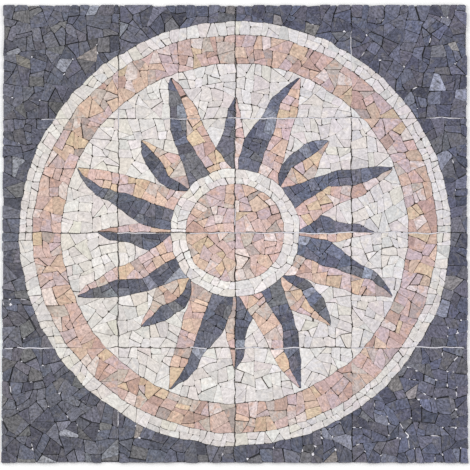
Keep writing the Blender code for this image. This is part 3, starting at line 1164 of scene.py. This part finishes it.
def wear_group(name):
    """Edges worn by tumbling, and grinding dust and dirt down in the joints, with painted shade darkening them further.
    """
    inputs = {
        "Vector": None, "Rim": 0.0, "Level": STONE_TOP, "Colour": GREY, "Worn Colour": GREY, "Wear": 0.4,
        "Dirt Colour": GREY, "Dirt": 0.7, "Dust": 0.3, "Glue Colour": GREY,
    }
    tree, given, put = node_group(name, inputs, {"Colour": "Color"})
    patchy = ramp_value(tree, noise_value(tree, given["Vector"], 260.0, 3.0, 0.6), 0.36, 0.66)
    rim = calculate(tree, "POWER", given["Rim"], 2.0)
    colour = mix_colour(tree, times(tree, rim, patchy, given["Wear"]), given["Colour"], given["Worn Colour"])
    # Painted shade with some dirt: the stone darkens down in the joints, where shade falls.
    dirt_and_shade = times(tree, ramp_value(tree, given["Level"], *DIRT_AND_SHADE_LEVELS), given["Dirt"])
    dust = ramp_value(tree, noise_value(tree, given["Vector"], 70.0, 2.0), 0.44, 0.62, 0.0, given["Dust"])
    dusty = mix_colour(tree, dust, given["Dirt Colour"], given["Worn Colour"])
    colour = mix_colour(tree, dirt_and_shade, colour, dusty)
    foot = ramp_value(tree, given["Level"], *GLUE_LEVELS, 0.0, 0.8)
    tree.links.new(mix_colour(tree, foot, colour, given["Glue Colour"]), put["Colour"])


GROUPS = {"stone clouding": clouding_group, "stone veins": vein_group, "worn edge and joint dirt": wear_group}


class Finish(NamedTuple):
    """What a stone's material gives to each shared effect, its least and most roughness, and its relief."""

    clouding: dict
    veins: dict
    wear: dict
    rough: tuple
    relief: float


# In each wear entry, the dark colour and its strength down in the joints stand for dirt and painted shade.
FINISHES = {
    SLATE: Finish(
        dict(
            Second_Colour=(0.138, 0.132, 0.136, 1), Cloud_Scale=170.0, Clouds=1.25, Streaks=1.00, Specks=0.40,
            Second_Share=0.55,
        ),
        dict(Vein_Colour=(0.42, 0.42, 0.46, 1), Vein_Scale=34.0, Vein_Width=0.010, Strength=0.45, Plain_Share=0.80),
        dict(
            Worn_Colour=(0.200, 0.202, 0.225, 1), Wear=0.32, Dirt_Colour=(0.072, 0.071, 0.084, 1), Dirt=0.70, Dust=0.35,
        ),
        (0.52, 0.72), 0.00022,
    ),
    PINK: Finish(
        dict(
            Second_Colour=(0.600, 0.380, 0.290, 1), Cloud_Scale=160.0, Clouds=0.72, Streaks=0.52, Specks=0.24,
            Second_Share=0.60,
        ),
        dict(Vein_Colour=(0.300, 0.150, 0.100, 1), Vein_Scale=30.0, Vein_Width=0.009, Strength=0.45, Plain_Share=0.62),
        dict(
            Worn_Colour=(0.560, 0.420, 0.360, 1), Wear=0.28, Dirt_Colour=(0.120, 0.088, 0.074, 1), Dirt=0.82, Dust=0.45,
        ),
        (0.48, 0.66), 0.00018,
    ),
    CREAM: Finish(
        dict(
            Second_Colour=(0.760, 0.700, 0.640, 1), Cloud_Scale=150.0, Clouds=0.46, Streaks=0.34, Specks=0.16,
            Second_Share=0.55,
        ),
        dict(Vein_Colour=(0.420, 0.330, 0.250, 1), Vein_Scale=26.0, Vein_Width=0.008, Strength=0.35, Plain_Share=0.70),
        dict(
            Worn_Colour=(0.700, 0.660, 0.620, 1), Wear=0.30, Dirt_Colour=(0.185, 0.155, 0.132, 1), Dirt=0.80, Dust=0.55,
        ),
        (0.46, 0.62), 0.00016,
    ),
}


def new_material(name):
    """A material with its Principled BSDF, and no other node."""
    material = bpy.data.materials.new(name)
    material.use_nodes = True
    tree = material.node_tree
    return material, tree, tree.nodes["Principled BSDF"]


def stone_material(stone):
    """The marble's material, made the first time that it is asked for."""
    name = f"{stone}_honed"
    if name in bpy.data.materials:
        return bpy.data.materials[name]
    finish = FINISHES[stone]
    material, tree, surface = new_material(name)
    place = object_place(tree)
    grain = attribute(tree, "grain")
    turned = add_node(
        tree, "ShaderNodeVectorRotate", {"rotation_type": "Z_AXIS"},
        Vector=place, Angle=times(tree, grain, math.tau * 5),
    ).outputs[0]
    shift = add_node(tree, "ShaderNodeCombineXYZ", X=grain, Y=times(tree, grain, 3.7), Z=grain)
    vector = vector_math(tree, "MULTIPLY_ADD", shift.outputs[0], (23.0, 19.0, 31.0), turned)
    clouded = place_group(
        tree, "stone clouding", Vector=vector, Colour=attribute(tree, "tint", "Color"), **finish.clouding
    )
    veined = place_group(tree, "stone veins", Vector=vector, Grain=grain, Colour=clouded["Colour"], **finish.veins)
    level = add_node(tree, "ShaderNodeSeparateXYZ", Vector=place).outputs["Z"]
    glue = (*bpy.context.scene.mosaic_stones.glue_white, 1)
    worn = place_group(
        tree, "worn edge and joint dirt", Vector=vector, Rim=attribute(tree, "rim"), Level=level,
        Colour=veined["Colour"], Glue_Colour=glue, **finish.wear,
    )
    height = calculate(tree, "SUBTRACT", clouded["Height"], times(tree, veined["Mask"], 0.4))
    fill_inputs(
        tree, surface, Base_Color=worn["Colour"], Roughness=ramp_value(tree, clouded["Tone"], 0.3, 0.7, *finish.rough),
        Normal=bump(tree, height, finish.relief), Specular_IOR_Level=0.4,
    )
    return material


def bump(tree, height, relief):
    """Turns a height into a normal."""
    return add_node(tree, "ShaderNodeBump", Strength=0.8, Distance=relief, Height=height).outputs[0]


def pale_material(name, colour, scale, relief, roughness):
    """Net or glue: a pale coat with fibres or lumps, and dust on it."""
    if name in bpy.data.materials:
        return bpy.data.materials[name]
    material, tree, surface = new_material(name)
    place = object_place(tree)
    fibres = noise_value(tree, place, scale, 4.0, 0.6, 0.5)
    dust = noise_value(tree, place, 35.0, 3.0, 0.5)
    dull, dusty = ((*(part * share for part, share in zip(colour, shares)), 1) for shares in (DULL, DUSTY))
    shade = mix_colour(tree, ramp_value(tree, fibres, 0.3, 0.7), dull, (*colour, 1))
    fill_inputs(
        tree, surface, Base_Color=mix_colour(tree, ramp_value(tree, dust, 0.45, 0.75), shade, dusty),
        Roughness=ramp_value(tree, fibres, 0.3, 0.7, roughness, roughness - 0.2), Normal=bump(tree, fibres, relief),
    )
    return material


def net_material():
    """The material of the nets' yarns."""
    return pale_material("coated_net", bpy.context.scene.mosaic_stones.net_white, 900.0, 0.00006, 0.75)


def glue_material():
    """The material of the glue."""
    return pale_material("dried_glue", bpy.context.scene.mosaic_stones.glue_white, 700.0, 0.00012, 0.70)


# Nets and glue


def weave_net(node_name):
    """Lays the yarns of one mat's net, in two crossing levels."""
    settings = bpy.context.scene.mosaic_net
    noise.seed_set(bpy.context.scene.mosaic_chips.seed)
    low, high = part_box(node_name)
    yarns = [
        lay_yarns(axis, height, (low + high) / 2, high - low, settings)
        for axis, height in ((0, YARN_LEVEL), (1, NET_THICKNESS - YARN_LEVEL))
    ]
    piece = join_pieces(yarns, f"{node_name}_yarns")
    bend_yarns(piece, low, high)
    finish_piece(piece, net_material(), [node_name])


def lay_yarns(axis, height, middle, span, settings):
    """Lays the yarns that run along one axis, as one piece."""
    count = int((span[1 - axis] - settings.yarn_width) / settings.pitch)
    start = middle.copy()
    start[1 - axis] -= count * settings.pitch / 2
    start.z = height
    turn = (0, math.pi / 2, 0) if axis == 0 else (math.pi / 2, 0, 0)
    bpy.ops.object.select_all(action="DESELECT")
    bpy.ops.mesh.primitive_cylinder_add(vertices=6, radius=0.5, depth=span[axis], location=start, rotation=turn)
    yarn = bpy.context.active_object
    bpy.ops.object.transform_apply(location=False, rotation=True, scale=False)
    flat = [settings.yarn_width] * 3
    flat[axis] = 1.0
    flat[2] = YARN_LEVEL * 2
    yarn.scale = flat
    bpy.ops.object.transform_apply(location=True, rotation=True, scale=True)
    rows = yarn.modifiers.new("rows", "ARRAY")
    rows.count = count + 1
    rows.use_relative_offset = False
    rows.use_constant_offset = True
    rows.constant_offset_displace = [settings.pitch if part == 1 - axis else 0.0 for part in range(3)]
    rows.use_merge_vertices = False
    bpy.ops.object.modifier_apply(modifier=rows.name)
    return yarn


def bend_yarns(piece, low, high):
    """Lets the yarns' ends wander a little, inside the net's own space."""
    for corner in piece.data.vertices:
        wave = noise.noise_vector(corner.co * YARN_SCALE) * YARN_WANDER
        for axis in (0, 1):
            corner.co[axis] = min(high[axis], max(low[axis], corner.co[axis] + wave[axis]))


def pick_glue(mesh, dice):
    """Picks junctions and sides of the pattern where glue has come up, most of them low and to the right."""
    net = bpy.context.scene.mosaic_net
    corners = [corner for corner in mesh.verts if all(len(edge.link_faces) == 2 for edge in corner.link_edges)]
    sides = [edge for edge in mesh.edges if len(edge.link_faces) == 2 and edge.calc_length() > GLUED_SIDE]
    glue = {}
    for choices, wanted in ((corners, net.specks), (sides, net.streaks)):
        dice.shuffle(choices)
        count = 0
        for part in choices:
            point = part.co if isinstance(part, bmesh.types.BMVert) else (part.verts[0].co + part.verts[1].co) / 2
            chance = GLUE_CHANCE + MORE_ON_RIGHT * (point.x > 0) + MORE_BELOW * (point.y < 0)
            if point.x > 0 > point.y:
                chance = 1.0
            if count < wanted and dice.random() < chance:
                glue[part] = dice.uniform(*GLUE_TOPS)
                count += 1
    return glue


def glue_mark(part, top, settings):
    """Where a lump of glue goes: start, end and top."""
    mat = mat_of(part.link_faces[0])
    ends = (part, part) if isinstance(part, bmesh.types.BMVert) else part.verts
    return (*(laid_place(corner.co.xy, mat, settings) for corner in ends), top)


def add_lump(point, width, length, heading, top, dice):
    """One lump of glue, from a small sphere pressed and turned into its gap."""
    bpy.ops.mesh.primitive_ico_sphere_add(subdivisions=1, radius=1.0, location=(0, 0, 0))
    lump = bpy.context.active_object
    for corner in lump.data.vertices:
        corner.co *= dice.uniform(0.55, 1.0)
        corner.co.z = math.copysign(abs(corner.co.z) ** 0.5, corner.co.z)
    turn = Matrix.Rotation(heading, 4, "Z")
    stretch = Matrix.Diagonal((length / 2, width / 2, LUMP_HALF_HEIGHT, 1))
    lump.data.transform(Matrix.Translation((*point, top - LUMP_HALF_HEIGHT)) @ turn @ stretch)
    return lump


def join_pieces(parts, name):
    """Joins some pieces into one."""
    select_only(parts[0])
    for part in parts:
        part.select_set(True)
    bpy.ops.object.join()
    parts[0].name = parts[0].data.name = name
    return parts[0]


def make_thread(points, radius, name):
    """A yarn of the net that stands up in a seam."""
    curve = bpy.data.curves.new(name, "CURVE")
    curve.dimensions = "3D"
    curve.bevel_depth = radius
    curve.bevel_resolution = 1
    curve.use_fill_caps = True
    spline = curve.splines.new("POLY")
    spline.points.add(len(points) - 1)
    for spot, place in zip(spline.points, points):
        spot.co = (*place, 1.0)
        spot.radius = 1.0
    thread = bpy.data.objects.new(name, curve)
    bpy.context.scene.collection.objects.link(thread)
    select_only(thread)
    bpy.ops.object.convert(target="MESH")
    return bpy.context.active_object


def lay_net_edge(running, start, end, top, side):
    """One of the two yarns along the net's edge, which wander up and down in the seam."""
    axis, seam = running
    count = max(4, int((end - start) / THREAD_STEP))
    points = []
    for step in range(count + 1):
        along = start + (end - start) * step / count
        drawn = Vector((along, seam)) if axis == 0 else Vector((seam, along))
        wave = noise.noise_vector(Vector((along * 75, seam * 9, side * 3)))
        place = drawn + hand_wander(drawn, bpy.context.scene.mosaic_chips)
        place[1 - axis] += side * THREAD_RADIUS + wave.x * THREAD_SIDEWAYS
        sink = THREAD_ENDS * abs(2 * step / count - 1) ** 3
        points.append((*place, top - THREAD_RADIUS + min(0.0, wave.y * THREAD_DIP) - sink))
    return make_thread(points, THREAD_RADIUS, "thread")


# Operators


glue_marks = []


class MOSAIC_OT_lay_border(bpy.types.Operator):
    """Lay the slate chips of the border"""

    bl_idname = "mosaic.lay_border"
    bl_label = "Lay Border"

    def execute(self, context):
        glue_marks[:] = lay_area("border", "border", SLATE)
        return {"FINISHED"}


class MOSAIC_OT_lay_rings(bpy.types.Operator):
    """Lay the outer ring, the band and the core ring"""

    bl_idname = "mosaic.lay_rings"
    bl_label = "Lay Rings"

    def execute(self, context):
        lay_area("outer_ring", "outer_ring", CREAM)
        lay_area("band", "band", PINK)
        lay_area("core_ring", "core_ring", CREAM)
        return {"FINISHED"}


class MOSAIC_OT_lay_field(bpy.types.Operator):
    """Lay the cream field round the sun"""

    bl_idname = "mosaic.lay_field"
    bl_label = "Lay Field"

    def execute(self, context):
        lay_area("field", "field", CREAM)
        return {"FINISHED"}


class MOSAIC_OT_lay_sun(bpy.types.Operator):
    """Lay the sun's disc and its sixteen rays in two stones"""

    bl_idname = "mosaic.lay_sun"
    bl_label = "Lay Sun"

    def execute(self, context):
        lay_area("disc", "disc", PINK)
        rays = [name for name in sorted(frame["nodes"]) if "_ray_" in name]
        if not rays:
            raise RuntimeError("the packed model has no rays")
        for name in rays:
            if name.endswith("dark"):
                lay_area(name, "dark_ray", SLATE)
            else:
                lay_area(name, "pink_ray", PINK)
        return {"FINISHED"}


class MOSAIC_OT_weave_nets(bpy.types.Operator):
    """Weave the backing net of each mat"""

    bl_idname = "mosaic.weave_nets"
    bl_label = "Weave Nets"

    def execute(self, context):
        for name in sorted(frame["nodes"]):
            if name.startswith("net_row"):
                weave_net(name)
        return {"FINISHED"}


class MOSAIC_OT_add_glue(bpy.types.Operator):
    """Add the specks and streaks of glue in the border, and the net's edges that show in the seams"""

    bl_idname = "mosaic.add_glue"
    bl_label = "Add Glue"

    def execute(self, context):
        if not glue_marks:
            raise RuntimeError("lay the border before its glue")
        dice = seeded_dice("glue")
        lumps = []
        for start, end, top in glue_marks:
            along = end - start
            if along.length < WELD:
                length = dice.uniform(*SPECK_LENGTHS)
                width = length * dice.uniform(0.45, 0.75)
                heading = dice.uniform(0, math.pi)
                place = start
            else:
                length = along.length * dice.uniform(0.50, 1.05)
                heading = math.atan2(along.y, along.x)
                place = start.lerp(end, dice.uniform(0.4, 0.6))
                width = dice.uniform(*STREAK_WIDTHS)
            lumps.append(add_lump(place, width, length, heading, top, dice))
        finish_piece(join_pieces(lumps, "glue_in_joints"), glue_material(), [])
        threads = [
            lay_net_edge(running, *stretch, side)
            for running, stretches in NET_EDGES.items() for stretch in stretches for side in (-1, 1)
        ]
        finish_piece(join_pieces(threads, "net_edges_in_seams"), net_material(), [])
        return {"FINISHED"}


class MOSAIC_OT_set_stage(bpy.types.Operator):
    """Set the floor, the soft lights and the camera"""

    bl_idname = "mosaic.set_stage"
    bl_label = "Set Stage"

    def execute(self, context):
        settings = context.scene.mosaic_stage
        add_floor(settings.floor_colour)
        add_light("softbox", (-2.1, 0.4), settings.softbox)
        add_light("fill", (2.1, -0.3), settings.fill)
        world = bpy.data.worlds.new("studio")
        world.use_nodes = True
        fill_inputs(world.node_tree, world.node_tree.nodes["Background"], Color=(1, 1, 1, 1), Strength=settings.sky)
        context.scene.world = world
        angle, distance = settings.camera_height, settings.camera_distance
        back = Vector((0, -math.cos(angle), math.sin(angle)))
        bpy.ops.object.camera_add(location=back * distance - Vector((0, settings.aim_low, 0)))
        camera = context.active_object
        camera.name = "photo_camera"
        camera.rotation_euler = (-back).to_track_quat("-Z", "Y").to_euler()
        camera.data.sensor_width = SENSOR_WIDTH
        camera.data.lens = SENSOR_WIDTH * distance / settings.view_width
        camera.data.clip_end = 200.0
        context.scene.camera = camera
        context.scene.view_settings.view_transform = "Standard"
        return {"FINISHED"}


def add_floor(floor_colour):
    """A plain floor just below the panel, with a faint unevenness of tone."""
    bpy.ops.object.select_all(action="DESELECT")
    bpy.ops.mesh.primitive_plane_add(size=FLOOR_SIDE, location=(0, 0, -FLOOR_DROP))
    floor = bpy.context.active_object
    floor.name = "studio_floor"
    material, tree, surface = new_material("studio_floor")
    shade = ramp_value(tree, noise_value(tree, object_place(tree), 3.0, 2.0), 0.2, 0.8, 0.985, 1.0)
    fill_inputs(tree, surface, Base_Color=scale_colour(tree, tuple(floor_colour), shade), Roughness=0.8)
    floor.data.materials.append(material)


def add_light(name, place, power):
    """A large square soft light that faces the panel and isn't seen itself."""
    bpy.ops.object.light_add(type="AREA", location=(*place, LIGHT_HEIGHT))
    light = bpy.context.active_object
    light.name = name
    light.rotation_euler = (-Vector((*place, LIGHT_HEIGHT))).to_track_quat("-Z", "Y").to_euler()
    light.data.shape = "SQUARE"
    light.data.size = LIGHT_SIDE
    light.data.energy = power
    light.visible_camera = False
    light.visible_glossy = False


OPERATORS = (
    MOSAIC_OT_lay_border,
    MOSAIC_OT_lay_rings,
    MOSAIC_OT_lay_field,
    MOSAIC_OT_lay_sun,
    MOSAIC_OT_weave_nets,
    MOSAIC_OT_add_glue,
    MOSAIC_OT_set_stage,
)


class MOSAIC_PT_sidebar(bpy.types.Panel):
    """Lists the panel's pieces in the order in which they are made"""

    bl_idname = "MOSAIC_PT_sidebar"
    bl_label = "Mosaic Panel"
    bl_space_type = "VIEW_3D"
    bl_region_type = "UI"
    bl_category = "Mosaic"

    def draw(self, context):
        for operator in OPERATORS:
            self.layout.operator(operator.bl_idname)
        for group_name in SETTINGS:
            settings = getattr(context.scene, group_name)
            box = self.layout.box()
            for name in settings.__annotations__:
                box.prop(settings, name)


SETTINGS = {
    "mosaic_chips": MosaicChips,
    "mosaic_stones": MosaicStones,
    "mosaic_net": MosaicNet,
    "mosaic_stage": MosaicStage,
}


def register():
    for each in (*SETTINGS.values(), *OPERATORS, MOSAIC_PT_sidebar):
        bpy.utils.register_class(each)
    for name, kind in SETTINGS.items():
        setattr(bpy.types.Scene, name, PointerProperty(type=kind))


def unregister():
    for name in SETTINGS:
        delattr(bpy.types.Scene, name)
    for each in reversed((*SETTINGS.values(), *OPERATORS, MOSAIC_PT_sidebar)):
        bpy.utils.unregister_class(each)


def main():
    """Makes the whole scene."""
    register()
    bpy.ops.mosaic.lay_border()
    bpy.ops.mosaic.lay_rings()
    bpy.ops.mosaic.lay_field()
    bpy.ops.mosaic.lay_sun()
    bpy.ops.mosaic.weave_nets()
    bpy.ops.mosaic.add_glue()
    bpy.ops.mosaic.set_stage()


if __name__ == "__main__":
    main()
